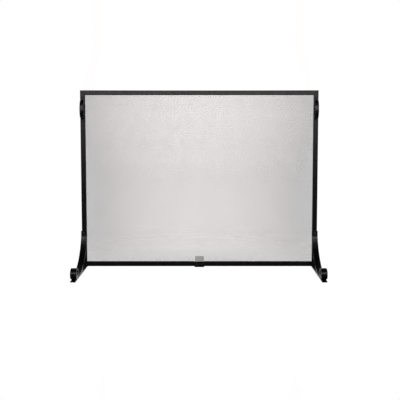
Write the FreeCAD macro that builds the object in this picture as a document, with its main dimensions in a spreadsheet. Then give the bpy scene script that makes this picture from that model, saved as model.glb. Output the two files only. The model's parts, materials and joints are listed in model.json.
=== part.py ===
import FreeCAD, Part
import math
import os
import Sketcher

# Free-standing single-panel fireplace screen, millimetres, +Z up, -Y towards the room.
# Origin: on the floor, under the middle of the screen, half way between the toes and the heels.

SIZES = {
    "frame_width": (1118, "outside width of the rectangular frame"),
    "frame_height": (836, "outside height of the rectangular frame"),
    "bar_face": (23, "frame tube, width seen from the front"),
    "bar_depth": (10, "frame tube, front to back"),
    "bar_wall": (1.5, "frame tube, wall thickness"),
    "bar_corner": (1.6, "frame tube, outside corner radius"),
    "mesh_thick": (1.8, "woven mesh, over the crossings"),
    "mesh_margin": (5, "mesh edge, inside the frame's outer edge"),
    "strip_width": (14, "retaining strip, width"),
    "strip_thick": (3, "retaining strip, thickness"),
    "strip_margin": (3, "retaining strip, inside the frame's outer edge"),
    "strip_gap": (1, "side strip end, clear of the top and bottom strips"),
    "row_inset": (40, "first screw of a strip row, from the strip's end"),
    "row_count_wide": (6, "screws in a top or bottom row"),
    "row_count_tall": (4, "screws in a side row"),
    "strip_screw_bore": (4, "strip screw, shank diameter"),
    "strip_screw_head": (8, "strip screw, head diameter"),
    "strip_screw_rise": (2.4, "strip screw, head height"),
    "strip_screw_reach": (3, "strip screw, length inside the tube"),
    "toe_reach": (257, "foot, forward of the frame's front face"),
    "heel_reach": (73, "foot, behind the frame's front face"),
    "foot_width": (23, "foot bar, width"),
    "foot_thick": (5, "foot bar, thickness"),
    "foot_corner": (1, "foot bar, radius of its long edges"),
    "foot_bevel": (1.5, "foot bar, bevel at toe and heel"),
    "foot_screw_bore": (5, "foot screw, shank diameter"),
    "foot_screw_head": (9.6, "foot screw, countersunk head diameter"),
    "foot_screw_sink": (2.6, "foot screw, countersunk head height"),
    "block_width": (15, "threaded block, along the rail"),
    "block_height": (8, "threaded block, height"),
    "brace_width": (28, "brace strap, width"),
    "brace_thick": (6, "brace strap, thickness"),
    "brace_corner": (1.2, "brace strap, radius of its edges"),
    "brace_top": (176, "brace strap, top end above the floor"),
    "brace_flat": (18, "brace strap, straight length on the post"),
    "brace_ease": (6, "brace strap, turn at the post beyond the sharpest possible bend, degrees"),
    "roll_radius": (22, "scroll, centre-line radius of the first half turn"),
    "roll_step": (6, "scroll, how much each next half turn is tighter"),
    "roll_tail_turn": (150, "scroll, turn of the innermost arc, degrees"),
    "roll_setback": (7, "scroll, behind the end of the toe"),
    "brace_seat": (24, "brace strap, straight length on the foot bar"),
    "rivet_bore": (6, "brace rivet, shank diameter"),
    "rivet_head": (11, "brace rivet, head diameter"),
    "rivet_rise": (3, "brace rivet, head height"),
    "rivet_tail": (3, "brace and handle rivet, length inside the tube"),
    "handle_width": (18, "handle strap, width"),
    "handle_thick": (4, "handle strap, thickness"),
    "handle_corner": (0.9, "handle strap, radius of its edges"),
    "handle_middle": (751, "handle, middle above the floor"),
    "handle_tab": (15, "handle, flat tab at each end"),
    "handle_bend": (6, "handle, centre-line radius where it leaves the tab"),
    "handle_shoulder": (20, "handle, centre-line radius of each shoulder"),
    "handle_crown": (72, "handle, centre-line radius of the grip"),
    "handle_rise_turn": (78, "handle, turn where it leaves the tab, degrees"),
    "handle_crown_turn": (48, "handle, turn of the grip, degrees"),
    "handle_rivet_bore": (4.5, "handle rivet, shank diameter"),
    "handle_rivet_head": (9, "handle rivet, head diameter"),
    "handle_rivet_rise": (2.2, "handle rivet, head height"),
    "clip_width": (46, "centre clip, width"),
    "clip_thick": (2.5, "centre clip, sheet thickness"),
    "clip_drop": (3.5, "centre clip, below the bottom rail"),
    "clip_tab_width": (34, "centre clip, width of the tab behind the nameplate"),
    "clip_tab_rise": (22, "centre clip, tab above the bottom rail"),
    "clip_screw_span": (28, "centre clip, screw to screw"),
    "clip_screw_bore": (4, "clip screw, shank diameter"),
    "clip_screw_head": (7, "clip screw, head diameter"),
    "clip_screw_rise": (2.2, "clip screw, head height"),
    "plate_width": (42, "nameplate, width"),
    "plate_height": (26, "nameplate, height"),
    "plate_thick": (1.2, "nameplate, thickness"),
    "plate_gap": (0.8, "nameplate, above the bottom rail"),
    "plate_rivet_span": (26, "nameplate, rivet to rivet"),
    "plate_rivet_bore": (2, "nameplate rivet, shank diameter"),
    "plate_rivet_head": (3.6, "nameplate rivet, head diameter"),
    "plate_rivet_rise": (0.8, "nameplate rivet, head height"),
    "hole_play": (0.2, "a hole is this much wider than what goes through it"),
    "fit_gap": (0.1, "clearance round a part inside a tube"),
}

# Places that several parts share, worked out from the sizes.
FRONT = "((Sizes.toe_reach - Sizes.heel_reach) / 2)"
HALF_WIDTH = "(Sizes.frame_width / 2)"
POST_X = "(Sizes.frame_width / 2 - Sizes.bar_face / 2)"
FRAME_TOP = "(Sizes.foot_thick + Sizes.frame_height)"
MESH_BACK = "(Sizes.bar_depth + Sizes.mesh_thick)"
STRIP_BACK = "(Sizes.bar_depth + Sizes.mesh_thick + Sizes.strip_thick)"
STRIP_LINE = "(Sizes.strip_margin + Sizes.strip_width / 2)"
WIDE_LENGTH = "(Sizes.frame_width - 2 * Sizes.strip_margin)"
TALL_START = "(Sizes.strip_margin + Sizes.strip_width + Sizes.strip_gap)"
TALL_LENGTH = "(Sizes.frame_height - 2 * %s)" % TALL_START
WIDE_SPAN = "(%s - 2 * Sizes.row_inset)" % WIDE_LENGTH
TALL_SPAN = "(%s - 2 * Sizes.row_inset)" % TALL_LENGTH
BRACE_HOLE = "(Sizes.brace_top - Sizes.brace_flat / 2)"
SEAT_END = "(Sizes.toe_reach - Sizes.roll_setback - Sizes.roll_radius - Sizes.brace_thick / 2)"
SEAT_HOLE = "(%s - Sizes.brace_seat / 2)" % SEAT_END
BRACE_DROP = "(Sizes.brace_top - Sizes.brace_flat - Sizes.foot_thick - Sizes.brace_thick / 2)"
BRACE_RUN = "(%s - Sizes.brace_seat - Sizes.brace_thick / 2)" % SEAT_END
BRACE_TURN = "(90 - 2 * atan(%s / %s) / 1 deg + Sizes.brace_ease)" % (BRACE_DROP, BRACE_RUN)
HANDLE_HALF = (
    "((Sizes.handle_bend + Sizes.handle_shoulder) * sin(Sizes.handle_rise_turn * 1 deg)"
    " + (Sizes.handle_crown - Sizes.handle_shoulder) * sin(Sizes.handle_crown_turn / 2 * 1 deg))"
)
HANDLE_HOLE = "(%s + Sizes.handle_tab / 2)" % HANDLE_HALF
CLIP_HOLE = "(Sizes.bar_face / 2)"
PLATE_MIDDLE = "(Sizes.bar_face + Sizes.plate_gap + Sizes.plate_height / 2)"

# Limits for the checks made while building.
LEAST_CUT = 0.01
SWEEP_ERROR = 0.01
PARALLEL = 0.999

doc = FreeCAD.newDocument("fireplace_screen")
sheet = doc.addObject("Spreadsheet::Sheet", "Sizes")
for row, (alias, (size, note)) in enumerate(SIZES.items(), start=1):
    sheet.set("A%d" % row, alias)
    sheet.set("B%d" % row, str(size))
    sheet.set("C%d" % row, note)
    sheet.setAlias("B%d" % row, alias)
doc.recompute()

subparts = []


def number(expression):
    """The value of an expression over the sheet's sizes."""
    return float(sheet.evalExpression(expression))


def keep(piece, label):
    """Names a finished sub-part and lists it for export."""
    piece.Label = label
    subparts.append(piece)
    return piece


def place(piece, x="0", y="0", z="0"):
    """Ties a piece's position to the sizes."""
    for axis, expression in zip("xyz", (x, y, z)):
        piece.setExpression("Placement.Base." + axis, expression)


def new_body(name, x="0", y="0", z="0"):
    """An empty body at a place given by expressions."""
    body = doc.addObject("PartDesign::Body", name)
    place(body, x, y, z)
    return body


def origin_of(body, role):
    """One of a body's own origin planes or axes."""
    return next(f for f in body.Origin.OriginFeatures if f.Role == role)


def new_sketch(body, plane, offset="0"):
    """A sketch on one of a body's origin planes, moved along that plane's normal."""
    sketch = body.newObject("Sketcher::SketchObject", body.Name + "_sketch")
    sketch.AttachmentSupport = [(origin_of(body, plane), "")]
    sketch.MapMode = "FlatFace"
    sketch.setExpression("AttachmentOffset.Base.z", offset)
    return sketch


def fix_point(sketch, geometry, end, x, y):
    """Holds one end of a sketch line or arc at a place given by expressions."""
    for kind, expression in (("DistanceX", x), ("DistanceY", y)):
        constraint = Sketcher.Constraint(kind, -1, 1, geometry, end, number(expression))
        index = sketch.addConstraint(constraint)
        sketch.setExpression("Constraints[%d]" % index, expression)


def draw_outline(sketch, points):
    """A closed outline of straight lines through points given as pairs of expressions."""
    corners = [FreeCAD.Vector(number(x), number(y), 0) for x, y in points]
    count = len(corners)
    first = sketch.GeometryCount
    for i in range(count):
        sketch.addGeometry(Part.LineSegment(corners[i], corners[(i + 1) % count]), False)
    for i in range(count):
        following = first + (i + 1) % count
        sketch.addConstraint(Sketcher.Constraint("Coincident", first + i, 2, following, 1))
    for i, (x, y) in enumerate(points):
        fix_point(sketch, first + i, 1, x, y)


def draw_box(sketch, left, right, low, high):
    """A rectangle between two x and two y expressions."""
    draw_outline(sketch, [(left, low), (right, low), (right, high), (left, high)])


def draw_rounded_box(sketch, left, right, low, high, corner):
    """A rectangle with rounded corners between two x and two y expressions."""
    ends = [
        (left + " + " + corner, low),
        (right + " - " + corner, low),
        (right, low + " + " + corner),
        (right, high + " - " + corner),
        (right + " - " + corner, high),
        (left + " + " + corner, high),
        (left, high + " - " + corner),
        (left, low + " + " + corner),
    ]
    points = [FreeCAD.Vector(number(x), number(y), 0) for x, y in ends]
    for i in range(0, 8, 2):
        line = sketch.addGeometry(Part.LineSegment(points[i], points[i + 1]), False)
        fix_point(sketch, line, 1, *ends[i])
        fix_point(sketch, line, 2, *ends[i + 1])
    radius = number(corner)
    for i in range(1, 8, 2):
        start, end = points[i], points[(i + 1) % 8]
        quarter = -math.pi / 2 + (i - 1) / 2 * (math.pi / 2)
        outward = FreeCAD.Vector(math.cos(quarter), math.sin(quarter), 0)
        circle = Part.Circle(start - outward * radius, FreeCAD.Vector(0, 0, 1), radius)
        arc = sketch.addGeometry(Part.ArcOfCircle(circle, quarter, quarter + math.pi / 2), False)
        sketch.addConstraint(Sketcher.Constraint("Coincident", arc, 1, (i - 1) // 2, 2))
        sketch.addConstraint(Sketcher.Constraint("Coincident", arc, 2, (i + 1) // 2 % 4, 1))
        index = sketch.addConstraint(Sketcher.Constraint("Radius", arc, radius))
        sketch.setExpression("Constraints[%d]" % index, corner)


def draw_circle(sketch, x, y, diameter):
    """A circle with its centre and diameter given by expressions."""
    centre = FreeCAD.Vector(number(x), number(y), 0)
    circle = Part.Circle(centre, FreeCAD.Vector(0, 0, 1), number(diameter) / 2)
    geometry = sketch.addGeometry(circle, False)
    fix_point(sketch, geometry, 3, x, y)
    index = sketch.addConstraint(Sketcher.Constraint("Diameter", geometry, number(diameter)))
    sketch.setExpression("Constraints[%d]" % index, diameter)


def draw_path(sketch, x, y, heading, steps):
    """A path of tangent lines and arcs: each step is (length,) or (radius, turn in degrees)."""
    point = FreeCAD.Vector(number(x), number(y), 0)
    angle = math.radians(heading)
    last = None
    for step in steps:
        if len(step) == 1:
            length = number(step[0])
            ahead = FreeCAD.Vector(math.cos(angle), math.sin(angle), 0)
            geometry = sketch.addGeometry(Part.LineSegment(point, point + ahead * length), False)
            start_end = (1, 2)
            point = point + ahead * length
            sizes = (("Distance", step[0], length),)
        else:
            radius = number(step[0])
            turn = math.radians(number(step[1]))
            side = math.copysign(1, turn)
            left = FreeCAD.Vector(-math.sin(angle), math.cos(angle), 0)
            centre = point + left * (radius * side)
            begin = angle - side * math.pi / 2
            bounds = sorted((begin, begin + turn))
            circle = Part.Circle(centre, FreeCAD.Vector(0, 0, 1), radius)
            geometry = sketch.addGeometry(Part.ArcOfCircle(circle, *bounds), False)
            start_end = (1, 2) if side > 0 else (2, 1)
            point = centre + FreeCAD.Vector(math.cos(begin + turn), math.sin(begin + turn), 0) * radius
            angle = angle + turn
            sizes = (
                ("Radius", step[0], radius),
                ("Angle", "abs(%s) * 1 deg" % step[1], abs(turn)),
            )
        if last is None:
            fix_point(sketch, geometry, start_end[0], x, y)
            kind = "Vertical" if abs(math.cos(math.radians(heading))) < 0.5 else "Horizontal"
            sketch.addConstraint(Sketcher.Constraint(kind, geometry))
        else:
            joint = Sketcher.Constraint("Tangent", last[0], last[1], geometry, start_end[0])
            sketch.addConstraint(joint)
        for kind, expression, value in sizes:
            index = sketch.addConstraint(Sketcher.Constraint(kind, geometry, value))
            sketch.setExpression("Constraints[%d]" % index, expression)
        last = (geometry, start_end[1])
    return len(steps)


def add_pad(body, sketch, length, towards="normal"):
    """Pads a sketch along its normal, against it, or equally both ways."""
    pad = body.newObject("PartDesign::Pad", body.Name + "_pad")
    pad.Profile = sketch
    pad.setExpression("Length", length)
    pad.Reversed = towards == "against"
    pad.Midplane = towards == "both"
    sketch.Visibility = False
    return pad


def add_pocket(body, sketch, depth, towards="against"):
    """Cuts a sketch's outline to a depth, against the sketch's normal or along it, and checks it cut."""
    doc.recompute()
    before = body.Shape.Volume
    pocket = body.newObject("PartDesign::Pocket", body.Name + "_pocket")
    pocket.Profile = sketch
    pocket.setExpression("Length", depth)
    pocket.Reversed = towards == "normal"
    doc.recompute()
    if not body.Shape.Volume < before - LEAST_CUT:
        raise RuntimeError("a pocket in %s cut nothing" % body.Name)
    return pocket


def round_edges(body, feature, axis, radius):
    """Rounds every straight edge of a feature that runs along one axis."""
    doc.recompute()
    names = []
    for i, edge in enumerate(feature.Shape.Edges, start=1):
        direction = edge.tangentAt(edge.FirstParameter)
        if abs(direction.dot(axis)) > PARALLEL:
            names.append("Edge%d" % i)
    fillet = body.newObject("PartDesign::Fillet", body.Name + "_rounded")
    fillet.Base = (feature, names)
    fillet.setExpression("Radius", radius)
    body.Tip = fillet
    return fillet


def repeat_along(body, feature, axis, length, count):
    """Repeats a feature in a row along one of the body's axes."""
    pattern = body.newObject("PartDesign::LinearPattern", body.Name + "_row")
    pattern.Originals = [feature]
    pattern.Direction = (origin_of(body, axis), [""])
    pattern.setExpression("Length", length)
    pattern.setExpression("Occurrences", count)
    body.Tip = pattern
    return pattern


def mirror_of(piece, name):
    """The same piece on the other side of the screen."""
    mirror = doc.addObject("Part::Mirroring", name)
    mirror.Source = piece
    mirror.Base = FreeCAD.Vector(0, 0, 0)
    mirror.Normal = FreeCAD.Vector(1, 0, 0)
    return mirror


def keep_pair(piece, name):
    """A right-hand piece and its mirror image, as two sub-parts."""
    keep(piece, "right_" + name)
    keep(mirror_of(piece, "left_" + name), "left_" + name)


def keep_group(pieces, name):
    """Identical separate pieces, as one sub-part."""
    group = doc.addObject("Part::Compound", name)
    group.Links = pieces
    keep(group, name)


def hole(diameter):
    """The diameter of the hole that a shank goes through."""
    return "(%s + Sizes.hole_play)" % diameter


def add_fastener(body, plane, head, shank, length, cap, rise):
    """A domed screw or rivet about a sketch's upright axis, head on the +1 or -1 side of zero."""
    sketch = new_sketch(body, plane)
    low = "-(%d) * (%s)" % (head, length)
    top = "(%d) * (%s)" % (head, rise)
    points = [("0", low), ("(%s) / 2" % shank, low), ("(%s) / 2" % shank, "0"), ("(%s) / 2" % cap, "0")]
    corners = [FreeCAD.Vector(number(x), number(y), 0) for x, y in points]
    peak = FreeCAD.Vector(0, number(top), 0)
    for start, end in zip(corners, corners[1:]):
        sketch.addGeometry(Part.LineSegment(start, end), False)
    half, height = number(cap) / 2, number(rise)
    radius = (half * half + height * height) / (2 * height)
    centre = FreeCAD.Vector(0, head * (height - radius), 0)
    angles = [math.atan2(p.y - centre.y, p.x - centre.x) for p in (corners[-1], peak)]
    circle = Part.Circle(centre, FreeCAD.Vector(0, 0, 1), radius)
    dome = sketch.addGeometry(Part.ArcOfCircle(circle, *sorted(angles)), False)
    rim, crest = (1, 2) if head > 0 else (2, 1)
    stem = sketch.addGeometry(Part.LineSegment(peak, corners[0]), False)
    for first, second in ((0, 1), (1, 2)):
        sketch.addConstraint(Sketcher.Constraint("Coincident", first, 2, second, 1))
    sketch.addConstraint(Sketcher.Constraint("Coincident", 2, 2, dome, rim))
    sketch.addConstraint(Sketcher.Constraint("Coincident", dome, crest, stem, 1))
    sketch.addConstraint(Sketcher.Constraint("Coincident", stem, 2, 0, 1))
    for i, (x, y) in enumerate(points[:3]):
        fix_point(sketch, i, 1, x, y)
    fix_point(sketch, 2, 2, *points[3])
    fix_point(sketch, stem, 1, "0", top)
    sketch.addConstraint(Sketcher.Constraint("PointOnObject", dome, 3, -2))
    turned = body.newObject("PartDesign::Revolution", body.Name + "_turned")
    turned.Profile = sketch
    turned.ReferenceAxis = (sketch, ["V_Axis"])
    turned.Angle = 360
    return turned


# ---- frame: four mitred rectangular tubes ----

def make_tube(name, outer, inner, along, x, z):
    """A mitred tube from its front outline and the outline of its hollow."""
    body = new_body(name, x, FRONT, z)
    outline = new_sketch(body, "XZ_Plane")
    draw_outline(outline, outer)
    solid_bar = add_pad(body, outline, "Sizes.bar_depth", "against")
    round_edges(body, solid_bar, along, "Sizes.bar_corner")
    hollow = new_sketch(body, "XZ_Plane", "-Sizes.bar_wall")
    draw_outline(hollow, inner)
    add_pocket(body, hollow, "Sizes.bar_depth - 2 * Sizes.bar_wall")
    return body


def add_back_holes(body, x, z, bore, axis, length, count):
    """A row of screw holes through a tube's back wall."""
    sketch = new_sketch(body, "XZ_Plane", "-Sizes.bar_depth")
    draw_circle(sketch, x, z, hole(bore))
    pocket = add_pocket(body, sketch, "Sizes.bar_wall", "normal")
    repeat_along(body, pocket, axis, length, count)


def add_front_hole(body, x, z, bore):
    """A hole through a tube's front wall."""
    sketch = new_sketch(body, "XZ_Plane")
    draw_circle(sketch, x, z, hole(bore))
    return add_pocket(body, sketch, "Sizes.bar_wall")


def rail_outline(edge, inset):
    """The trapezium of a rail: long side at z = edge, mitred towards the middle of the frame."""
    near = "(%s * (%s))" % (edge, inset)
    far = "(%s * (Sizes.bar_face - (%s)))" % (edge, inset)
    long_half = "(%s - (%s))" % (HALF_WIDTH, inset)
    short_half = "(%s - Sizes.bar_face + (%s))" % (HALF_WIDTH, inset)
    return [("-" + long_half, near), (long_half, near), (short_half, far), ("-" + short_half, far)]


def make_rail(name, side, z):
    """A horizontal tube: side is 1 for the bottom rail, whose long edge is low, and -1 for the top."""
    outlines = (rail_outline(side, "0"), rail_outline(side, "Sizes.bar_wall"))
    body = make_tube(name, *outlines, FreeCAD.Vector(1, 0, 0), "0", z)
    line = "(%d * %s)" % (side, STRIP_LINE)
    start = "-%s / 2" % WIDE_SPAN
    add_back_holes(body, start, line, "Sizes.strip_screw_bore", "X_Axis", WIDE_SPAN, "Sizes.row_count_wide")
    return body


keep(make_rail("top_rail", -1, FRAME_TOP), "top_rail")

bottom_rail = make_rail("bottom_rail", 1, "Sizes.foot_thick")
for side in (1, -1):
    add_front_hole(bottom_rail, "%d * Sizes.clip_screw_span / 2" % side, CLIP_HOLE, "Sizes.clip_screw_bore")
underside = new_sketch(bottom_rail, "XY_Plane")
for side in (1, -1):
    draw_circle(underside, "%d * %s" % (side, POST_X), "Sizes.bar_depth / 2", hole("Sizes.foot_screw_bore"))
add_pocket(bottom_rail, underside, "Sizes.bar_wall", "normal")
keep(bottom_rail, "bottom_rail")


def post_outline(inset):
    """The trapezium of the right-hand post, outer side at x = 0."""
    tall = "(%s)" % inset
    short = "(Sizes.bar_face - (%s))" % inset
    top = "(Sizes.frame_height - (%s))"
    return [("-" + tall, tall), ("-" + tall, top % tall), ("-" + short, top % short), ("-" + short, short)]


def make_post():
    """The right-hand post, with the holes for its strip, handle and brace."""
    outlines = (post_outline("0"), post_outline("Sizes.bar_wall"))
    body = make_tube("right_post", *outlines, FreeCAD.Vector(0, 0, 1), HALF_WIDTH, "Sizes.foot_thick")
    start = "%s + Sizes.row_inset" % TALL_START
    bore = "Sizes.strip_screw_bore"
    add_back_holes(body, "-" + STRIP_LINE, start, bore, "Z_Axis", TALL_SPAN, "Sizes.row_count_tall")
    middle = "-Sizes.bar_face / 2"
    for end in (1, -1):
        height = "Sizes.handle_middle + %d * %s - Sizes.foot_thick" % (end, HANDLE_HOLE)
        add_front_hole(body, middle, height, "Sizes.handle_rivet_bore")
    add_front_hole(body, middle, BRACE_HOLE + " - Sizes.foot_thick", "Sizes.rivet_bore")
    return body


keep_pair(make_post(), "post")


# ---- mesh, retaining strips and their screws ----

def make_mesh():
    """The woven panel as a thin closed sheet, with its screw holes."""
    body = new_body("mesh_panel", "0", FRONT + " + Sizes.bar_depth", "Sizes.foot_thick")
    sketch = new_sketch(body, "XZ_Plane")
    half = "(%s - Sizes.mesh_margin)" % HALF_WIDTH
    draw_box(sketch, "-" + half, half, "Sizes.mesh_margin", "Sizes.frame_height - Sizes.mesh_margin")
    for line in (STRIP_LINE, "(Sizes.frame_height - %s)" % STRIP_LINE):
        for i in range(int(number("Sizes.row_count_wide"))):
            x = "%s * (%d / (Sizes.row_count_wide - 1) - 0.5)" % (WIDE_SPAN, i)
            draw_circle(sketch, x, line, hole("Sizes.strip_screw_bore"))
    for side in (1, -1):
        for i in range(int(number("Sizes.row_count_tall"))):
            step = "%s * %d / (Sizes.row_count_tall - 1)" % (TALL_SPAN, i)
            x = "%d * (%s - %s)" % (side, HALF_WIDTH, STRIP_LINE)
            z = "%s + Sizes.row_inset + %s" % (TALL_START, step)
            draw_circle(sketch, x, z, hole("Sizes.strip_screw_bore"))
    add_pad(body, sketch, "Sizes.mesh_thick", "against")
    return body


keep(make_mesh(), "mesh_panel")


def make_strip(name, x, z, box, first_hole, axis, length, count):
    """A flat strip behind the mesh with a row of holes."""
    body = new_body(name, x, "%s + %s" % (FRONT, MESH_BACK), z)
    sketch = new_sketch(body, "XZ_Plane")
    draw_box(sketch, *box)
    add_pad(body, sketch, "Sizes.strip_thick", "against")
    holes = new_sketch(body, "XZ_Plane")
    draw_circle(holes, *first_hole, hole("Sizes.strip_screw_bore"))
    pocket = add_pocket(body, holes, "Sizes.strip_thick")
    repeat_along(body, pocket, axis, length, count)
    return body


def make_screw_row(name, x, z, axis, length, count):
    """A row of strip screws, heads to the back."""
    body = new_body(name, x, "%s + %s" % (FRONT, STRIP_BACK), z)
    grip = "%s - Sizes.bar_depth + Sizes.bar_wall + Sizes.strip_screw_reach" % STRIP_BACK
    sizes = ("Sizes.strip_screw_bore", grip, "Sizes.strip_screw_head", "Sizes.strip_screw_rise")
    screw = add_fastener(body, "XY_Plane", 1, *sizes)
    repeat_along(body, screw, axis, length, count)
    return body


wide_box = (
    "-%s / 2" % WIDE_LENGTH,
    "%s / 2" % WIDE_LENGTH,
    "-Sizes.strip_width / 2",
    "Sizes.strip_width / 2",
)
wide_row = ("X_Axis", WIDE_SPAN, "Sizes.row_count_wide")
wide_places = {"top": "%s - %s" % (FRAME_TOP, STRIP_LINE), "bottom": "Sizes.foot_thick + " + STRIP_LINE}
for name, z in wide_places.items():
    strip = make_strip(name + "_strip", "0", z, wide_box, ("-%s / 2" % WIDE_SPAN, "0"), *wide_row)
    keep(strip, name + "_strip")
    screws = make_screw_row(name + "_strip_screws", "-%s / 2" % WIDE_SPAN, z, *wide_row)
    keep(screws, name + "_strip_screws")

tall_box = ("-Sizes.strip_width / 2", "Sizes.strip_width / 2", "0", TALL_LENGTH)
tall_row = ("Z_Axis", TALL_SPAN, "Sizes.row_count_tall")
tall_x = "%s - %s" % (HALF_WIDTH, STRIP_LINE)
tall_z = "Sizes.foot_thick + " + TALL_START
side_strip = make_strip("right_strip", tall_x, tall_z, tall_box, ("0", "Sizes.row_inset"), *tall_row)
keep_pair(side_strip, "strip")
side_screws = make_screw_row("right_strip_screws", tall_x, tall_z + " + Sizes.row_inset", *tall_row)
keep_pair(side_screws, "strip_screws")


# ---- feet: floor bar, swept brace with a rolled end, and what holds them ----

def make_foot():
    """A flat bar on the floor, bevelled at both ends, countersunk under the post."""
    body = new_body("right_foot_bar", POST_X, FRONT)
    side_view = new_sketch(body, "YZ_Plane")
    toe = "-Sizes.toe_reach"
    heel = "Sizes.heel_reach"
    shoulder = "Sizes.foot_thick - Sizes.foot_bevel"
    points = [
        (toe, "0"),
        (heel, "0"),
        (heel, shoulder),
        (heel + " - Sizes.foot_bevel", "Sizes.foot_thick"),
        (toe + " + Sizes.foot_bevel", "Sizes.foot_thick"),
        (toe, shoulder),
    ]
    draw_outline(side_view, points)
    flat_bar = add_pad(body, side_view, "Sizes.foot_width", "both")
    round_edges(body, flat_bar, FreeCAD.Vector(0, 1, 0), "Sizes.foot_corner")
    doc.recompute()
    before = body.Shape.Volume
    sink = new_sketch(body, "XZ_Plane", "-Sizes.bar_depth / 2")
    shank = "(%s) / 2" % hole("Sizes.foot_screw_bore")
    head = "(%s) / 2" % hole("Sizes.foot_screw_head")
    points = [
        ("0", "0"),
        (head, "0"),
        (shank, "Sizes.foot_screw_sink"),
        (shank, "Sizes.foot_thick"),
        ("0", "Sizes.foot_thick"),
    ]
    draw_outline(sink, points)
    groove = body.newObject("PartDesign::Groove", "foot_countersink")
    groove.Profile = sink
    groove.ReferenceAxis = (sink, ["V_Axis"])
    groove.Angle = 360
    doc.recompute()
    if not body.Shape.Volume < before - LEAST_CUT:
        raise RuntimeError("the foot bar's countersink cut nothing")
    rivet = new_sketch(body, "XY_Plane")
    draw_circle(rivet, "0", "-" + SEAT_HOLE, hole("Sizes.rivet_bore"))
    add_pocket(body, rivet, "Sizes.foot_thick", "normal")
    return body


keep_pair(make_foot(), "foot_bar")


def make_foot_screw():
    """A countersunk screw up through the foot bar and the rail into the threaded block."""
    body = new_body("right_foot_screw", POST_X, FRONT + " + Sizes.bar_depth / 2")
    sketch = new_sketch(body, "XZ_Plane")
    top = "Sizes.foot_thick + Sizes.bar_wall + Sizes.block_height"
    shank = "Sizes.foot_screw_bore / 2"
    head = "Sizes.foot_screw_head / 2"
    points = [("0", "0"), (head, "0"), (shank, "Sizes.foot_screw_sink"), (shank, top), ("0", top)]
    draw_outline(sketch, points)
    turned = body.newObject("PartDesign::Revolution", "foot_screw_turned")
    turned.Profile = sketch
    turned.ReferenceAxis = (sketch, ["V_Axis"])
    turned.Angle = 360
    return body


foot_screw = make_foot_screw()
keep_group([foot_screw, mirror_of(foot_screw, "left_foot_screw")], "foot_screws")


def make_block():
    """The threaded block that lies in the corner of the frame, inside the tubes."""
    body = new_body("right_block", POST_X, FRONT, "Sizes.foot_thick + Sizes.bar_wall")
    sketch = new_sketch(body, "XY_Plane")
    half = "Sizes.block_width / 2"
    front = "Sizes.bar_wall + Sizes.fit_gap"
    back = "Sizes.bar_depth - Sizes.bar_wall - Sizes.fit_gap"
    draw_box(sketch, "-" + half, half, front, back)
    draw_circle(sketch, "0", "Sizes.bar_depth / 2", hole("Sizes.foot_screw_bore"))
    add_pad(body, sketch, "Sizes.block_height")
    return body


block = make_block()
keep_group([block, mirror_of(block, "left_block")], "threaded_blocks")


def brace_radii():
    """The bend at the post and the long sweep, which together cover the brace's drop and its run."""
    sine = "sin(%s * 1 deg)" % BRACE_TURN
    cosine = "cos(%s * 1 deg)" % BRACE_TURN
    share = "(%s * %s - (1 - %s) * (1 - %s))" % (sine, cosine, sine, cosine)
    bend = "((%s * %s - %s * (1 - %s)) / %s)" % (BRACE_DROP, cosine, BRACE_RUN, sine, share)
    sweep = "((%s * %s - %s * (1 - %s)) / %s)" % (BRACE_RUN, sine, BRACE_DROP, cosine, share)
    return bend, sweep


def make_brace():
    """The swept strap: down the post, out in a long curve, along the foot bar and rolled into a scroll."""
    body = new_body("right_brace", POST_X, FRONT)
    spine = new_sketch(body, "YZ_Plane")
    half = "Sizes.brace_thick / 2"
    bend, sweep = brace_radii()
    steps = [
        ("Sizes.brace_flat",),
        (bend, "-" + BRACE_TURN),
        (sweep, "-(90 - %s)" % BRACE_TURN),
        ("Sizes.brace_seat",),
        ("Sizes.roll_radius", "-180"),
        ("Sizes.roll_radius - Sizes.roll_step", "-180"),
        ("Sizes.roll_radius - 2 * Sizes.roll_step", "-Sizes.roll_tail_turn"),
    ]
    count = draw_path(spine, "-" + half, "Sizes.brace_top", -90, steps)
    doc.recompute()
    profile = new_sketch(body, "XY_Plane", "Sizes.brace_top")
    half_width = "Sizes.brace_width / 2"
    section_box = ("-" + half_width, half_width, "-Sizes.brace_thick", "0")
    draw_rounded_box(profile, *section_box, "Sizes.brace_corner")
    strap = body.newObject("PartDesign::AdditivePipe", "brace_strap")
    strap.Profile = profile
    strap.Spine = (spine, ["Edge%d" % (i + 1) for i in range(count)])
    doc.recompute()
    length = spine.Shape.Length
    section = number("Sizes.brace_width * Sizes.brace_thick")
    if abs(body.Shape.Volume / (length * section) - 1) > SWEEP_ERROR:
        raise RuntimeError("the brace's volume is not its section times its length")
    on_post = new_sketch(body, "XZ_Plane")
    draw_circle(on_post, "0", BRACE_HOLE, hole("Sizes.rivet_bore"))
    add_pocket(body, on_post, "Sizes.brace_thick", "normal")
    on_foot = new_sketch(body, "XY_Plane", "Sizes.foot_thick")
    draw_circle(on_foot, "0", "-" + SEAT_HOLE, hole("Sizes.rivet_bore"))
    add_pocket(body, on_foot, "Sizes.brace_thick", "normal")
    return body


keep_pair(make_brace(), "brace")

post_rivet = new_body("right_post_rivet", POST_X, FRONT + " - Sizes.brace_thick", BRACE_HOLE)
grip = "Sizes.brace_thick + Sizes.bar_wall + Sizes.rivet_tail"
add_fastener(post_rivet, "XY_Plane", -1, "Sizes.rivet_bore", grip, "Sizes.rivet_head", "Sizes.rivet_rise")
keep_group([post_rivet, mirror_of(post_rivet, "left_post_rivet")], "brace_post_rivets")

seat_top = "Sizes.foot_thick + Sizes.brace_thick"
seat_rivet = new_body("right_seat_rivet", POST_X, "%s - %s" % (FRONT, SEAT_HOLE), seat_top)
add_fastener(seat_rivet, "XZ_Plane", 1, "Sizes.rivet_bore", seat_top, "Sizes.rivet_head", "Sizes.rivet_rise")
keep_group([seat_rivet, mirror_of(seat_rivet, "left_seat_rivet")], "brace_foot_rivets")


# ---- handles ----

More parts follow.
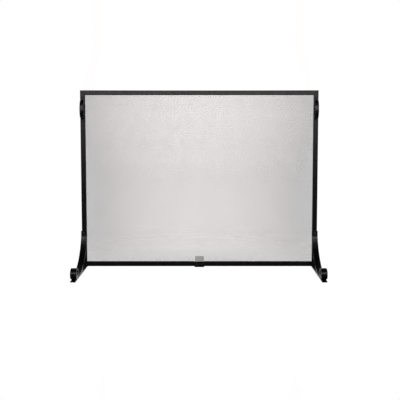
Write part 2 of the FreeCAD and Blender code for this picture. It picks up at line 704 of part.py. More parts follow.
def make_handle():
    """The arched lifting handle: tab, shoulder, grip, shoulder, tab, in one strap."""
    body = new_body("right_handle", POST_X, FRONT, "Sizes.handle_middle")
    spine = new_sketch(body, "YZ_Plane")
    rise = "Sizes.handle_rise_turn"
    crown = "Sizes.handle_crown_turn"
    bend = ("Sizes.handle_bend", rise)
    shoulder = ("Sizes.handle_shoulder", "-(%s - %s / 2)" % (rise, crown))
    tab = ("Sizes.handle_tab",)
    steps = [tab, bend, shoulder, ("Sizes.handle_crown", "-" + crown), shoulder, bend, tab]
    low = "-(%s + Sizes.handle_tab)" % HANDLE_HALF
    count = draw_path(spine, "-Sizes.handle_thick / 2", low, 90, steps)
    doc.recompute()
    profile = new_sketch(body, "XY_Plane", low)
    half_width = "Sizes.handle_width / 2"
    section_box = ("-" + half_width, half_width, "-Sizes.handle_thick", "0")
    draw_rounded_box(profile, *section_box, "Sizes.handle_corner")
    strap = body.newObject("PartDesign::AdditivePipe", "handle_strap")
    strap.Profile = profile
    strap.Spine = (spine, ["Edge%d" % (i + 1) for i in range(count)])
    doc.recompute()
    for end in (1, -1):
        hole_sketch = new_sketch(body, "XZ_Plane")
        draw_circle(hole_sketch, "0", "%d * %s" % (end, HANDLE_HOLE), hole("Sizes.handle_rivet_bore"))
        add_pocket(body, hole_sketch, "Sizes.handle_thick", "normal")
    return body


keep_pair(make_handle(), "handle")

handle_rivets = new_body(
    "right_handle_rivets",
    POST_X,
    FRONT + " - Sizes.handle_thick",
    "Sizes.handle_middle - " + HANDLE_HOLE,
)
grip = "Sizes.handle_thick + Sizes.bar_wall + Sizes.rivet_tail"
sizes = ("Sizes.handle_rivet_bore", grip, "Sizes.handle_rivet_head", "Sizes.handle_rivet_rise")
rivet = add_fastener(handle_rivets, "XY_Plane", -1, *sizes)
repeat_along(handle_rivets, rivet, "Z_Axis", "2 * " + HANDLE_HOLE, "2")
keep_group([handle_rivets, mirror_of(handle_rivets, "left_handle_rivets")], "handle_rivets")


# ---- centre clip and nameplate ----

def make_clip():
    """The saddle on the bottom rail: front plate, flange under the rail, and a tab for the nameplate."""
    body = new_body("centre_clip", "0", FRONT, "Sizes.foot_thick")
    front = new_sketch(body, "XZ_Plane")
    wide = "Sizes.clip_width / 2"
    narrow = "Sizes.clip_tab_width / 2"
    top = "Sizes.bar_face + Sizes.clip_tab_rise"
    points = [
        ("-" + wide, "-Sizes.clip_drop"),
        (wide, "-Sizes.clip_drop"),
        (wide, "Sizes.bar_face"),
        (narrow, "Sizes.bar_face"),
        (narrow, top),
        ("-" + narrow, top),
        ("-" + narrow, "Sizes.bar_face"),
        ("-" + wide, "Sizes.bar_face"),
    ]
    draw_outline(front, points)
    for side in (1, -1):
        screw_x = "%d * Sizes.clip_screw_span / 2" % side
        draw_circle(front, screw_x, CLIP_HOLE, hole("Sizes.clip_screw_bore"))
        rivet_x = "%d * Sizes.plate_rivet_span / 2" % side
        draw_circle(front, rivet_x, PLATE_MIDDLE, hole("Sizes.plate_rivet_bore"))
    add_pad(body, front, "Sizes.clip_thick")
    flange = new_sketch(body, "XY_Plane")
    draw_box(flange, "-" + wide, wide, "-Sizes.clip_thick", "Sizes.bar_depth")
    add_pad(body, flange, "Sizes.clip_thick", "against")
    return body


keep(make_clip(), "centre_clip")

clip_screws = new_body(
    "clip_screws",
    "-Sizes.clip_screw_span / 2",
    FRONT + " - Sizes.clip_thick",
    "Sizes.foot_thick + " + CLIP_HOLE,
)
grip = "Sizes.clip_thick + Sizes.bar_wall + Sizes.rivet_tail"
sizes = ("Sizes.clip_screw_bore", grip, "Sizes.clip_screw_head", "Sizes.clip_screw_rise")
screw = add_fastener(clip_screws, "XY_Plane", -1, *sizes)
repeat_along(clip_screws, screw, "X_Axis", "Sizes.clip_screw_span", "2")
keep(clip_screws, "clip_screws")

plate_y = FRONT + " - Sizes.clip_thick"
plate_z = "Sizes.foot_thick + " + PLATE_MIDDLE
nameplate = new_body("nameplate", "0", plate_y, plate_z)
face = new_sketch(nameplate, "XZ_Plane")
half = "Sizes.plate_width / 2"
draw_box(face, "-" + half, half, "-Sizes.plate_height / 2", "Sizes.plate_height / 2")
for side in (1, -1):
    draw_circle(face, "%d * Sizes.plate_rivet_span / 2" % side, "0", hole("Sizes.plate_rivet_bore"))
add_pad(nameplate, face, "Sizes.plate_thick")
keep(nameplate, "nameplate")

rivet_y = plate_y + " - Sizes.plate_thick"
plate_rivets = new_body("nameplate_rivets", "-Sizes.plate_rivet_span / 2", rivet_y, plate_z)
grip = "Sizes.plate_thick + Sizes.clip_thick"
sizes = ("Sizes.plate_rivet_bore", grip, "Sizes.plate_rivet_head", "Sizes.plate_rivet_rise")
rivet = add_fastener(plate_rivets, "XY_Plane", -1, *sizes)
repeat_along(plate_rivets, rivet, "X_Axis", "Sizes.plate_rivet_span", "2")
keep(plate_rivets, "nameplate_rivets")


# ---- check every object, then write the parts ----

doc.recompute()
for item in doc.Objects:
    if "Invalid" in item.State or "Error" in item.State:
        raise RuntimeError("%s did not build: %s" % (item.Label, item.State))
for piece in subparts:
    if piece.Shape.isNull() or not piece.Shape.isValid():
        raise RuntimeError("%s has no valid shape" % piece.Label)

os.makedirs("parts", exist_ok=True)
for piece in subparts:
    piece.Shape.exportStep(os.path.join("parts", piece.Label + ".step"))
    box = piece.Shape.BoundBox
    extent = (box.XMin, box.YMin, box.ZMin, box.XMax, box.YMax, box.ZMax)
    print(piece.Label, len(piece.Shape.Solids), "solid(s)", ["%.1f" % side for side in extent])
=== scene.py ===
"""The looks of a free-standing fireplace screen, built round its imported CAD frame.

Lengths are in metres. X runs along the screen, -Y towards the room and Z up, from the floor.
"""
import json
import math

import bmesh
import bpy
import numpy as np
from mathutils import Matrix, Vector


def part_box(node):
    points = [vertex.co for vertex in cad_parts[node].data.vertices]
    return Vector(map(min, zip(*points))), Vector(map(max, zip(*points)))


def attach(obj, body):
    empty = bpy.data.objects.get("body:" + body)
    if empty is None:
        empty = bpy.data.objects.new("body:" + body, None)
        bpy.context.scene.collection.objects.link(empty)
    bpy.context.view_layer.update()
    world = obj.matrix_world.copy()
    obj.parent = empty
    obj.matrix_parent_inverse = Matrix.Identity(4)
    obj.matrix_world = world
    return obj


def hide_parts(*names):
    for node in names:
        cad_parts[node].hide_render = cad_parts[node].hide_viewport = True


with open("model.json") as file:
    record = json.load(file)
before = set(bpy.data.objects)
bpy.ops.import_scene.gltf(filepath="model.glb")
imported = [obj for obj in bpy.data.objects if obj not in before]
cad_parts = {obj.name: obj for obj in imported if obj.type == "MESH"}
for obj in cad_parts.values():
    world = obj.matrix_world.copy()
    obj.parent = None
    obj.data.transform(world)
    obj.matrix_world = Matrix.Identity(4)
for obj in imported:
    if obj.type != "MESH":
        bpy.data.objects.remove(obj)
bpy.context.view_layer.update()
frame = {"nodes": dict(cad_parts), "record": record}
nodes = frame["nodes"]

# ---- places, from the frame ----
RAIL_LOW, RAIL_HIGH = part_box("top_rail")
FRONT = RAIL_LOW.y
HALF_WIDTH = RAIL_HIGH.x
FRAME_TOP = RAIL_HIGH.z
FRAME_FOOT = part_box("right_post")[0].z
MESH_LOW, MESH_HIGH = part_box("mesh_panel")
STRIP_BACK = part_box("top_strip")[1].y
CLIP_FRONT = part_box("centre_clip")[0].y
ALONG_X, ALONG_Z = 0, 2

# ---- sockets of a colour Mix node, which share their names with those of its other data types ----
MIX_COLOURS = (6, 7)
MIX_RESULT = 2

# ---- finishes, as linear colours ----
FRAME_BLACK = (0.0013, 0.0013, 0.0015)
STRAP_BLACK = (0.0016, 0.0015, 0.0015)
# The fastener colours are lighter than the frame's: partly a painted highlight standing in for the glints
# on the screw heads, and partly rubbed wear on their edges.
FASTENER_BLACK_WITH_PAINTED_HIGHLIGHT = (0.018, 0.0177, 0.0175)
FRAME_RUBBED = (0.05, 0.048, 0.046)
STRAP_RUBBED = (0.06, 0.056, 0.052)
FASTENER_WEAR_AND_PAINTED_HIGHLIGHT = (0.2, 0.195, 0.19)
WIRE_DARK = (0.018, 0.018, 0.019)
WIRE_LIGHT = (0.034, 0.033, 0.033)
ZINC_DARK = (0.42, 0.42, 0.43)
ZINC_LIGHT = (0.62, 0.62, 0.64)
PLATE_DARK = (0.43, 0.426, 0.42)
PLATE_LIGHT = (0.53, 0.526, 0.52)
DUST_GAIN = 1.8
DUST_LIFT = 0.0006
RUB_WIDTH = 0.0012
SEAM_DEPTH = 0.00035
SEAM_HALF_WIDTH = 0.0002
SEAM_REACH = 0.0011

# ---- woven mesh ----
WIRE_SPACING = 0.0032
UPRIGHTS_PER_PIECE = 90
LEVELS_PER_PIECE = 67

# ---- screws: shares of the head's width or rise, unless they say otherwise ----
SMOOTH_ANGLE = 32
RECESS_HALF_WIDTH = 0.3
RECESS_ARM = 0.27
RECESS_DEPTH = 0.62
RECESS_FLOOR = 0.8
RECESS_POINT = 0.05
RECESS_CORNER_STEP = 1.6
HEAD_RINGS = (0.93, 0.8, 0.62, 0.42, 0.2, 0.0)
HEAD_UNDERSIDE = 0.98
HEAD_BEAD = 0.04
SHANK = 0.5
SHANK_TIP = 0.3
SHANK_TAPER = 0.2
SHANK_END_BELOW_HEAD = 0.0001

# ---- nameplate ----
PLATE_CORNER = 0.0014
PLATE_LEAST_CORNER = 0.0006
PLATE_CORNER_STEPS = 5
PLATE_SOFTENING = 0.0003
PLATE_ROUNDING = 0.3
PLATE_BORDER = 0.0014
PLATE_SINK = 0.00025

# ---- floor ----
FLOOR_RADIUS = 1.3
FLOOR_SEGMENTS = 96
FLOOR_FADE = (0.22, 0.97)
FLOOR_GREYS = ((0.5, 0.5, 0.5), (0.54, 0.54, 0.54))
FLOOR_GLOW = 0.93
FLOOR_GLOW_BACK = 1.22
FLOOR_BACK_DEPTH = 0.4
FLOOR_SIDE_LOSS = 0.28
FLOOR_SIDE_REACH_SQUARED = 0.26
FLOOR_TINT = (1, 0.97, 0.965)

# ---- backdrop and studio ----
WHITE = (1, 1, 1)
BACKDROP_PEAK = 1.49
BACKDROP_FALL = 13.5
BACKDROP_DIP = 1.2
BACKDROP_DEEPEST_DIP = 0.13
BACKDROP_OFFSET = 0.012
BACKDROP_TINT = (1, 0.967, 0.961)
BACKDROP_TINTED_FROM = (0.92, 1.08)
LEAST_AHEAD = 0.001
BEHIND_FROM, BEHIND_LEVELS = (-0.1, 0.7), (0.02, 0.95)
OVERHEAD_FROM, OVERHEAD_LEVELS = (0.28, 0.68), (1.0, 0.13)
SOFTBOX_TINT = (1, 0.94, 0.935)

# ---- camera ----
CAMERA_PLACE = (0.031, FRONT - 2.81, 0.736)
CAMERA_PITCH = 3.78
CAMERA_LENS = 53.78
CAMERA_SHIFT = (-0.0148, -0.1194)
CAMERA_CLIP = (0.05, 60.0)


# ---- node helpers ----

class Nodes:
    """Helpers that add and link the nodes of one tree."""

    def __init__(self, tree):
        self.tree = tree

    def add(self, kind, **settings):
        """A new node, with its settings given by name."""
        node = self.tree.nodes.new(kind)
        for key, value in settings.items():
            setattr(node, key, value)
        return node

    def link(self, source, target):
        self.tree.links.new(source, target)

    def axes(self, place):
        """The X, Y and Z of a vector socket."""
        split = self.add("ShaderNodeSeparateXYZ")
        self.link(place, split.inputs["Vector"])
        return split.outputs["X"], split.outputs["Y"], split.outputs["Z"]

    def spread(self, value, low, high, start=0.0, end=1.0):
        """Maps a value from start..end to low..high, clamped."""
        spread = self.add("ShaderNodeMapRange")
        self.link(value, spread.inputs["Value"])
        for key, number in (("From Min", start), ("From Max", end), ("To Min", low), ("To Max", high)):
            spread.inputs[key].default_value = number
        return spread.outputs["Result"]

    def math(self, operation, first, second=None):
        """A maths node over sockets or numbers."""
        node = self.add("ShaderNodeMath", operation=operation)
        for socket, value in zip(node.inputs, (first, second)):
            if isinstance(value, (int, float)):
                socket.default_value = value
            elif value is not None:
                self.link(value, socket)
        return node.outputs["Value"]

    def mix(self, share, first, second):
        """A mix of two colours or colour sockets by a share."""
        node = self.add("ShaderNodeMix", data_type="RGBA")
        self.link(share, node.inputs["Factor"])
        for index, value in zip(MIX_COLOURS, (first, second)):
            if isinstance(value, tuple):
                node.inputs[index].default_value = (*value, 1)
            else:
                self.link(value, node.inputs[index])
        return node.outputs[MIX_RESULT]


class Recipe(Nodes):
    """A node material being put together, with one Principled shader."""

    def __init__(self, name):
        self.material = bpy.data.materials.new(name)
        self.material.use_nodes = True
        super().__init__(self.material.node_tree)
        self.shader = self.tree.nodes["Principled BSDF"]
        self.place = self.add("ShaderNodeTexCoord").outputs["Object"]

    def set(self, **inputs):
        """Plain values on the shader's own sockets."""
        for key, value in inputs.items():
            self.shader.inputs[key.replace("_", " ")].default_value = value

    def noise(self, scale, detail=3.0, roughness=0.55, stretch=(1, 1, 1)):
        """A noise pattern of scale cells a metre, stretched along the object's axes."""
        mapping = self.add("ShaderNodeMapping")
        mapping.inputs["Scale"].default_value = stretch
        self.link(self.place, mapping.inputs["Vector"])
        noise = self.add("ShaderNodeTexNoise")
        noise.inputs["Scale"].default_value = scale
        noise.inputs["Detail"].default_value = detail
        noise.inputs["Roughness"].default_value = roughness
        self.link(mapping.outputs["Vector"], noise.inputs["Vector"])
        return noise.outputs["Fac"]

    def edge(self, radius):
        """1 on sharp edges and 0 on flat faces, within a radius of the edge."""
        bevel = self.add("ShaderNodeBevel", samples=4)
        bevel.inputs["Radius"].default_value = radius
        geometry = self.add("ShaderNodeNewGeometry")
        dot = self.add("ShaderNodeVectorMath", operation="DOT_PRODUCT")
        self.link(bevel.outputs["Normal"], dot.inputs[0])
        self.link(geometry.outputs["Normal"], dot.inputs[1])
        return self.spread(dot.outputs["Value"], low=1.0, high=0.0, start=0.75, end=0.99)

    def bump(self, height, distance, below=None):
        """A bump whose full height is a distance, over another bump if there is one."""
        bump = self.add("ShaderNodeBump")
        bump.inputs["Distance"].default_value = distance
        self.link(height, bump.inputs["Height"])
        if below is not None:
            self.link(below, bump.inputs["Normal"])
        return bump.outputs["Normal"]

    def finish(self, colour=None, roughness=None, normal=None):
        """Links what was made to the shader and returns the material."""
        for key, socket in (("Base Color", colour), ("Roughness", roughness), ("Normal", normal)):
            if socket is not None:
                self.link(socket, self.shader.inputs[key])
        return self.material


# ---- materials ----

def seam(recipe):
    """1 along the mitred joints in the frame's corners."""
    x, _, z = recipe.axes(recipe.place)
    from_side = recipe.math("SUBTRACT", HALF_WIDTH, recipe.math("ABSOLUTE", x))
    middle = (FRAME_TOP + FRAME_FOOT) / 2
    from_middle = recipe.math("ABSOLUTE", recipe.math("SUBTRACT", z, middle))
    from_end = recipe.math("SUBTRACT", (FRAME_TOP - FRAME_FOOT) / 2, from_middle)
    gap = recipe.math("ABSOLUTE", recipe.math("SUBTRACT", from_side, from_end))
    return recipe.spread(gap, low=1.0, high=0.0, start=SEAM_HALF_WIDTH, end=SEAM_REACH)


def enamel(name, base, worn_and_highlight, gloss, orange_peel, forged=0.0, with_seam=False):
    """Satin black enamel over steel: faint mottling, orange peel, and edges rubbed a little lighter; on the
    fasteners the lighter black and rubbed edges are also a painted highlight.

    gloss is the middle roughness, and orange_peel and forged are the heights of those bumps.
    """
    recipe = Recipe(name)
    recipe.set(Specular_IOR_Level=0.42)
    mottle = recipe.spread(recipe.noise(scale=38.0, detail=4.0), low=0.0, high=1.0, start=0.35, end=0.68)
    dusty = tuple(c * DUST_GAIN + DUST_LIFT for c in base)
    colour = recipe.mix(mottle, base, dusty)
    rub = recipe.spread(recipe.noise(scale=260.0), low=0.0, high=1.0, start=0.45, end=0.75)
    rub_and_highlight_mask = recipe.math("MULTIPLY", recipe.edge(RUB_WIDTH), rub)
    colour = recipe.mix(rub_and_highlight_mask, colour, worn_and_highlight)
    cloud = recipe.noise(scale=70.0, detail=5.0)
    streaks = recipe.spread(cloud, low=gloss - 0.05, high=gloss + 0.07, start=0.3, end=0.7)
    dulled = recipe.math("MULTIPLY", rub_and_highlight_mask, 0.12)
    roughness = recipe.math("ADD", streaks, dulled)
    normal = recipe.bump(recipe.noise(scale=520.0, detail=2.0), orange_peel)
    if forged:
        normal = recipe.bump(recipe.noise(scale=95.0, detail=1.0, roughness=0.4), forged, normal)
    if with_seam:
        normal = recipe.bump(seam(recipe), SEAM_DEPTH, normal)
    return recipe.finish(colour, roughness, normal)


def wire_finish():
    """Blackened steel wire, a little greyer in patches, with a fine drawn grain."""
    recipe = Recipe("wire_steel")
    recipe.set(Metallic=0.2, Specular_IOR_Level=0.4)
    tone = recipe.spread(recipe.noise(scale=24.0, detail=4.0), low=0.0, high=1.0, start=0.3, end=0.7)
    colour = recipe.mix(tone, WIRE_DARK, WIRE_LIGHT)
    roughness = recipe.spread(recipe.noise(scale=900.0, detail=2.0), low=0.46, high=0.6)
    grain = recipe.bump(recipe.noise(scale=2600.0, detail=2.0), distance=0.00004)
    return recipe.finish(colour, roughness, grain)


def metal(name, dark, light, low, high, grain, stretch=(1, 1, 1), metallic=1.0):
    """Bare or plated metal, low to high in roughness, with a grain of a height along a stretch."""
    recipe = Recipe(name)
    recipe.set(Metallic=metallic)
    lines = recipe.noise(scale=900.0, roughness=0.6, stretch=stretch)
    cloud = recipe.noise(scale=60.0, detail=4.0)
    tone = recipe.math("ADD", recipe.math("MULTIPLY", lines, 0.6), recipe.math("MULTIPLY", cloud, 0.4))
    colour = recipe.mix(recipe.spread(tone, low=0.0, high=1.0, start=0.3, end=0.7), dark, light)
    roughness = recipe.spread(tone, low=low, high=high, start=0.3, end=0.7)
    return recipe.finish(colour, roughness, recipe.bump(lines, grain))


def make_materials():
    """One material for each of the record's slots."""
    return {
        "frame_paint": enamel(
            "frame_enamel", FRAME_BLACK, FRAME_RUBBED, gloss=0.31, orange_peel=0.00006, with_seam=True
        ),
        "strap_paint": enamel(
            "strap_enamel", STRAP_BLACK, STRAP_RUBBED, gloss=0.3, orange_peel=0.00006, forged=0.0006
        ),
        "mesh_wire": wire_finish(),
        # The lighter black and rubbed edges here are partly a painted highlight on the screw heads.
        "fastener_paint": enamel(
            "fastener_enamel", FASTENER_BLACK_WITH_PAINTED_HIGHLIGHT, FASTENER_WEAR_AND_PAINTED_HIGHLIGHT, gloss=0.27, orange_peel=0.00003
        ),
        "zinc_steel": metal("zinc_plate", ZINC_DARK, ZINC_LIGHT, low=0.28, high=0.44, grain=0.00002),
        "plate_metal": metal(
            "brushed_plate", PLATE_DARK, PLATE_LIGHT, low=0.34, high=0.5, grain=0.00003,
            stretch=(0.04, 1, 1), metallic=0.2
        ),
    }


def place_piece(piece, slot, *replaced):
    """Adds a new piece to the scene, on the one body and in its slot's material.

    replaced names the CAD nodes that it stands in for.
    """
    bpy.context.scene.collection.objects.link(piece)
    piece.data.materials.clear()
    piece.data.materials.append(materials[slot])
    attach(piece, "root")
    if replaced:
        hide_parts(*replaced)


# ---- woven mesh ----

def wires(name, places, along, crossings, flip):
    """Four-sided wires, shaded as round, each waving over and under the wires that cross it.

    along is the axis that they run on, places is where each one lies on the other axis of the
    panel, and crossings is where the wires that they pass lie. The wave is along Y.
    """
    middle = (MESH_LOW.y + MESH_HIGH.y) / 2
    radius = (MESH_HIGH.y - MESH_LOW.y) / 4
    stations = np.concatenate(([MESH_LOW[along]], crossings, [MESH_HIGH[along]]))
    count, length = len(places), len(stations)
    wave = np.zeros((count, length))
    parity = np.add.outer(np.arange(count) + flip, np.arange(len(crossings))) % 2
    wave[:, 1:-1] = np.where(parity, radius, -radius)
    ring = np.array([(1, 0), (0, 1), (-1, 0), (0, -1)]) * radius
    side = ALONG_Z - along
    points = np.zeros((count, length, len(ring), 3), np.float32)
    points[..., side] = places[:, None, None] + ring[None, None, :, 0]
    points[..., 1] = middle + wave[:, :, None] + ring[None, None, :, 1]
    points[..., along] = stations[None, :, None]
    index = np.arange(points.size // 3).reshape(count, length, len(ring))
    here, there = index[:, :-1], index[:, 1:]
    turned = np.roll(here, -1, 2), np.roll(there, -1, 2)
    walls = np.stack((here, turned[0], turned[1], there), -1).reshape(-1, 4)
    caps = np.concatenate((index[:, 0, ::-1], index[:, -1]))
    faces = np.concatenate((walls, caps))
    if along == ALONG_X:
        faces = faces[:, ::-1]
    mesh = bpy.data.meshes.new(name)
    mesh.vertices.add(index.size)
    mesh.vertices.foreach_set("co", points.reshape(-1))
    mesh.loops.add(faces.size)
    mesh.loops.foreach_set("vertex_index", faces.reshape(-1).astype(np.int32))
    mesh.polygons.add(len(faces))
    mesh.polygons.foreach_set("loop_start", np.arange(0, faces.size, 4, dtype=np.int32))
    mesh.polygons.foreach_set("use_smooth", np.ones(len(faces), bool))
    mesh.update(calc_edges=True)
    place_piece(bpy.data.objects.new(name, mesh), "mesh_wire", "mesh_panel")


def wire_places(low, high):
    """Evenly spaced wires between two edges of the panel, about one spacing apart."""
    count = round((high - low) / WIRE_SPACING)
    return low + (np.arange(count) + 0.5) * (high - low) / count


def weave_panel():
    """The whole panel, as a few pieces of upright and a few of level wires."""
    upright = wire_places(MESH_LOW.x, MESH_HIGH.x)
    level = wire_places(MESH_LOW.z, MESH_HIGH.z)
    for kind, places, along, crossings, per_piece, flip in (
        ("upright", upright, ALONG_Z, level, UPRIGHTS_PER_PIECE, 0),
        ("level", level, ALONG_X, upright, LEVELS_PER_PIECE, 1),
    ):
        for number, first in enumerate(range(0, len(places), per_piece), 1):
            name = "mesh_%s_%d" % (kind, number)
            wires(name, places[first:first + per_piece], along, crossings, first % 2 + flip)


# ---- small hardware ----

def loft(rings):
    """A closed solid through rings of points, as its points and faces."""
    count = len(rings[0])
    points = [tuple(p) for ring in rings for p in ring]
    faces = []
    for i in range(len(rings) - 1):
        for j in range(count):
            ahead = (j + 1) % count
            faces.append((i * count + j, i * count + ahead, (i + 1) * count + ahead, (i + 1) * count + j))
    faces.append(tuple(range(count))[::-1])
    faces.append(tuple(range(len(points) - count, len(points))))
    return points, faces


def hardware(name, solids, replaced):
    """One piece from closed solids, in place of a CAD node, shaded smooth over its shallow bends."""
    points, faces = [], []
    for more_points, more_faces in solids:
        faces += [tuple(i + len(points) for i in face) for face in more_faces]
        points += more_points
    mesh = bpy.data.meshes.new(name)
    mesh.from_pydata(points, [], faces)
    work = bmesh.new()
    work.from_mesh(mesh)
    bmesh.ops.recalc_face_normals(work, faces=work.faces)
    work.to_mesh(mesh)
    work.free()
    mesh.polygons.foreach_set("use_smooth", np.ones(len(mesh.polygons), bool))
    mesh.set_sharp_from_angle(angle=math.radians(SMOOTH_ANGLE))
    place_piece(bpy.data.objects.new(name, mesh), slots[replaced], replaced)


def cross_angles():
    """Angles round a screw head that catch every corner of its cross recess."""
    corner = math.atan2(RECESS_HALF_WIDTH, 1.0)
    past = corner * RECESS_CORNER_STEP
    right = math.pi / 2
    quarter = [0.0, corner, past, right / 2, right - past, right - corner]
    return [turn * right + angle for turn in range(4) for angle in quarter]


def cross_reach(angle):
    """How far the cross recess reaches at an angle, where each arm is 1 long."""
    east, north = abs(math.cos(angle)), abs(math.sin(angle))
    wide, narrow = max(east, north), min(east, north)
    along_arm = 1.0 / wide
    return min(along_arm, RECESS_HALF_WIDTH / narrow) if narrow > 1e-6 else along_arm


def recessed_screw(place, facing, head, rise, reach):
    """A domed screw with a cross recess, its head's underside at a place and facing +Y or -Y."""
    angles = cross_angles()
    dome = (head * head / 4 + rise * rise) / (2 * rise)
    bore = head * SHANK
    arm = head * RECESS_ARM
    depth = rise * RECESS_DEPTH

    def crest(radius):
        return rise - dome + math.sqrt(dome * dome - radius * radius)

    def ring(radii, heights):
        return [
            (place.x + r * math.cos(a), place.y + facing * h, place.z + r * math.sin(a))
            for a, r, h in zip(angles, radii, heights)
        ]

    def circle(radius, height):
        return ring([radius] * len(angles), [height] * len(angles))

    rings = [
        circle(bore * SHANK_TIP, -reach),
        circle(bore / 2, -reach + bore * SHANK_TAPER),
        circle(bore / 2, -SHANK_END_BELOW_HEAD),
        circle(head / 2 * HEAD_UNDERSIDE, 0.0),
        circle(head / 2, crest(head / 2) + rise * HEAD_BEAD),
    ]
    cross = [arm * cross_reach(a) for a in angles]
    for share in HEAD_RINGS:
        radii = [edge + (head / 2 - edge) * share for edge in cross]
        rings.append(ring(radii, [crest(r) for r in radii]))
    inner = [edge * RECESS_FLOOR for edge in cross]
    floor = [crest(0.0) - depth * RECESS_FLOOR] * len(angles)
    rings += [ring(inner, floor), circle(arm * RECESS_POINT, crest(0.0) - depth)]
    return loft(rings)


def screw_row(name, axis, count, facing, seat):
    """Replaces a row of screws along an axis, whose heads sit on a face at Y = seat, with recessed ones."""
    low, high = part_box(name)
    other = 2 - axis
    head = high[other] - low[other]
    deep = high.y - low.y
    rise = high.y - seat if facing > 0 else seat - low.y
    middle = (low + high) / 2
    solids = []
    for i in range(count):
        place = Vector((middle.x, seat, middle.z))
        place[axis] = low[axis] + head / 2 + (high[axis] - low[axis] - head) * i / (count - 1)
        solids.append(recessed_screw(place, facing, head, rise, deep - rise))
    hardware(name + "_recessed", solids, name)


def rounded_loop(middle, half_wide, half_tall, corner, y):
    """Points round a rectangle with rounded corners, on a plane across Y."""
    points = []
    for turn, (east, north) in enumerate(((1, 1), (-1, 1), (-1, -1), (1, -1))):
        for step in range(PLATE_CORNER_STEPS + 1):
            angle = (turn + step / PLATE_CORNER_STEPS) * math.pi / 2
            x = middle.x + east * (half_wide - corner) + corner * math.cos(angle)
            z = middle.z + north * (half_tall - corner) + corner * math.sin(angle)
            points.append((x, y, z))
    return points


def blank_nameplate():
    """The nameplate with rounded corners, a softened edge, a raised border and a blank face."""
    low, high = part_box("nameplate")
    middle = (low + high) / 2
    wide, tall = (high.x - low.x) / 2, (high.z - low.z) / 2
    loops = []
    for inset, y in (
        (0.0, high.y),
        (0.0, low.y + PLATE_SOFTENING),
        (PLATE_SOFTENING * PLATE_ROUNDING, low.y + PLATE_SOFTENING * PLATE_ROUNDING),
        (PLATE_SOFTENING, low.y),
        (PLATE_BORDER, low.y),
        (PLATE_BORDER + PLATE_SINK, low.y + PLATE_SINK),
    ):
        corner = max(PLATE_CORNER - inset, PLATE_LEAST_CORNER)
        loops.append(rounded_loop(middle, wide - inset, tall - inset, corner, y))
    hardware("nameplate_blank", [loft(loops)], "nameplate")


# ---- stage, light and camera ----

def soft_light(name, place, target, wide, tall, power, colour=WHITE):
    """A large rectangular soft light, aimed at a point and not seen by the camera."""
    data = bpy.data.lights.new(name, "AREA")
    data.shape = "RECTANGLE"
    data.size, data.size_y = wide, tall
    data.energy = power
    data.color = colour
    light = bpy.data.objects.new(name, data)
    bpy.context.scene.collection.objects.link(light)
    light.location = place
    light.rotation_euler = (Vector(target) - Vector(place)).to_track_quat("-Z", "Y").to_euler()
    light.visible_camera = False


def floor_glow(recipe, x, back):
    """How brightly the floor glows: evenly in front, and behind the screen most in the middle."""
    beside = recipe.math("MULTIPLY", x, x)
    edge_glow = FLOOR_GLOW_BACK - FLOOR_SIDE_LOSS
    pool = recipe.spread(beside, low=FLOOR_GLOW_BACK, high=edge_glow, end=FLOOR_SIDE_REACH_SQUARED)
    extra = recipe.math("SUBTRACT", pool, FLOOR_GLOW)
    return recipe.math("ADD", FLOOR_GLOW, recipe.math("MULTIPLY", back, extra))


def make_floor():
    """A pale floor that glows enough to show no shadow, as in the photo, and fades into the backdrop."""
    floor_mesh = bmesh.new()
    bmesh.ops.create_circle(floor_mesh, cap_ends=True, segments=FLOOR_SEGMENTS, radius=FLOOR_RADIUS)
    mesh = bpy.data.meshes.new("floor")
    floor_mesh.to_mesh(mesh)
    floor_mesh.free()
    floor = bpy.data.objects.new("floor", mesh)
    bpy.context.scene.collection.objects.link(floor)
    recipe = Recipe("pale_floor")
    recipe.set(Roughness=0.9, Specular_IOR_Level=0.1)
    colour = recipe.mix(recipe.noise(scale=3.0, detail=2.0), *FLOOR_GREYS)
    x, y, _ = recipe.axes(recipe.place)
    back = recipe.spread(y, low=0.0, high=1.0, start=FRONT, end=FRONT + FLOOR_BACK_DEPTH)
    recipe.link(recipe.mix(back, WHITE, FLOOR_TINT), recipe.shader.inputs["Emission Color"])
    recipe.link(floor_glow(recipe, x, back), recipe.shader.inputs["Emission Strength"])
    distance = recipe.add("ShaderNodeVectorMath", operation="LENGTH")
    recipe.link(recipe.place, distance.inputs[0])
    start, end = (FLOOR_RADIUS * share for share in FLOOR_FADE)
    fade = recipe.spread(distance.outputs["Value"], low=1.0, high=0.0, start=start, end=end)
    fade.node.interpolation_type = "SMOOTHSTEP"
    recipe.link(fade, recipe.shader.inputs["Alpha"])
    mesh.materials.append(recipe.finish(colour))
    floor.visible_glossy = False


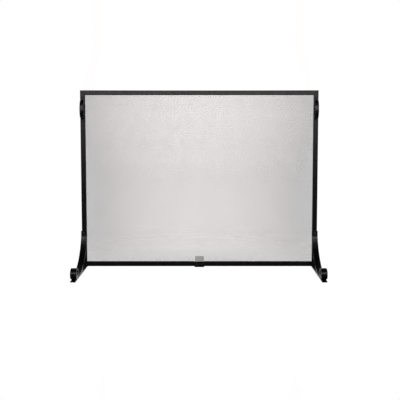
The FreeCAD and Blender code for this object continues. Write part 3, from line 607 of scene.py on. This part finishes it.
def make_world():
    """Two skies in one: a pale backdrop that the camera sees, and a studio that lights the screen.

    The backdrop is brightest and warmest straight behind the screen. The studio is dark in front,
    bright behind and dim overhead.
    """
    world = bpy.data.worlds.new("studio")
    bpy.context.scene.world = world
    world.use_nodes = True
    sky = Nodes(world.node_tree)
    background = sky.tree.nodes["Background"]
    x, y, z = sky.axes(sky.add("ShaderNodeTexCoord").outputs["Generated"])

    ahead = sky.math("MAXIMUM", y, LEAST_AHEAD)
    aside = sky.math("ADD", sky.math("DIVIDE", x, ahead), BACKDROP_OFFSET)
    level = sky.math("ABSOLUTE", sky.math("DIVIDE", z, ahead))
    across = sky.math("MULTIPLY", sky.math("MULTIPLY", aside, aside), BACKDROP_FALL)
    dip = sky.math("MINIMUM", sky.math("MULTIPLY", level, BACKDROP_DIP), BACKDROP_DEEPEST_DIP)
    pool = sky.math("SUBTRACT", sky.math("SUBTRACT", BACKDROP_PEAK, across), dip)
    shown = sky.math("MAXIMUM", pool, 1.0)

    behind = sky.spread(y, *BEHIND_LEVELS, *BEHIND_FROM)
    overhead = sky.spread(z, *OVERHEAD_LEVELS, *OVERHEAD_FROM)
    studio = sky.math("MULTIPLY", behind, overhead)

    camera_ray = sky.add("ShaderNodeLightPath").outputs["Is Camera Ray"]
    seen = sky.math("MULTIPLY", shown, camera_ray)
    unseen = sky.math("MULTIPLY", studio, sky.math("SUBTRACT", 1.0, camera_ray))
    sky.link(sky.math("ADD", seen, unseen), background.inputs["Strength"])
    warmth = sky.spread(pool, 0.0, 1.0, *BACKDROP_TINTED_FROM)
    sky.link(sky.mix(warmth, WHITE, BACKDROP_TINT), background.inputs["Color"])


def make_camera():
    """A camera in front of the screen, a little below its top, tipped slightly down and shifted."""
    data = bpy.data.cameras.new("camera")
    data.sensor_width = 36.0
    data.lens = CAMERA_LENS
    data.shift_x, data.shift_y = CAMERA_SHIFT
    data.clip_start, data.clip_end = CAMERA_CLIP
    camera = bpy.data.objects.new("camera", data)
    bpy.context.scene.collection.objects.link(camera)
    camera.location = CAMERA_PLACE
    camera.rotation_euler = (math.radians(90 - CAMERA_PITCH), 0, 0)
    bpy.context.scene.camera = camera


def light_studio():
    """One broad soft light in front, above the camera, and a low wide one behind the screen."""
    soft_light(
        "front_softbox", place=(0, -3.6, 1.66), target=(0, FRONT, 0.6), wide=3.6, tall=1.75, power=62,
        colour=SOFTBOX_TINT
    )
    soft_light(
        "rear_softbox", place=(0, 2.4, 1.05), target=(0, FRONT, 0.0), wide=3.4, tall=0.7, power=9
    )
    bpy.context.scene.view_settings.view_transform = "Standard"


# ---- the screen and its stage ----

materials = make_materials()
slots = {entry["node"]: entry["material_slot"] for entry in frame["record"]["subparts"]}
for name, slot in slots.items():
    nodes[name].data.materials.clear()
    nodes[name].data.materials.append(materials[slot])
weave_panel()
screw_row("top_strip_screws", ALONG_X, count=6, facing=1, seat=STRIP_BACK)
screw_row("bottom_strip_screws", ALONG_X, count=6, facing=1, seat=STRIP_BACK)
screw_row("left_strip_screws", ALONG_Z, count=4, facing=1, seat=STRIP_BACK)
screw_row("right_strip_screws", ALONG_Z, count=4, facing=1, seat=STRIP_BACK)
screw_row("clip_screws", ALONG_X, count=2, facing=-1, seat=CLIP_FRONT)
blank_nameplate()
make_floor()
make_world()
light_studio()
make_camera()
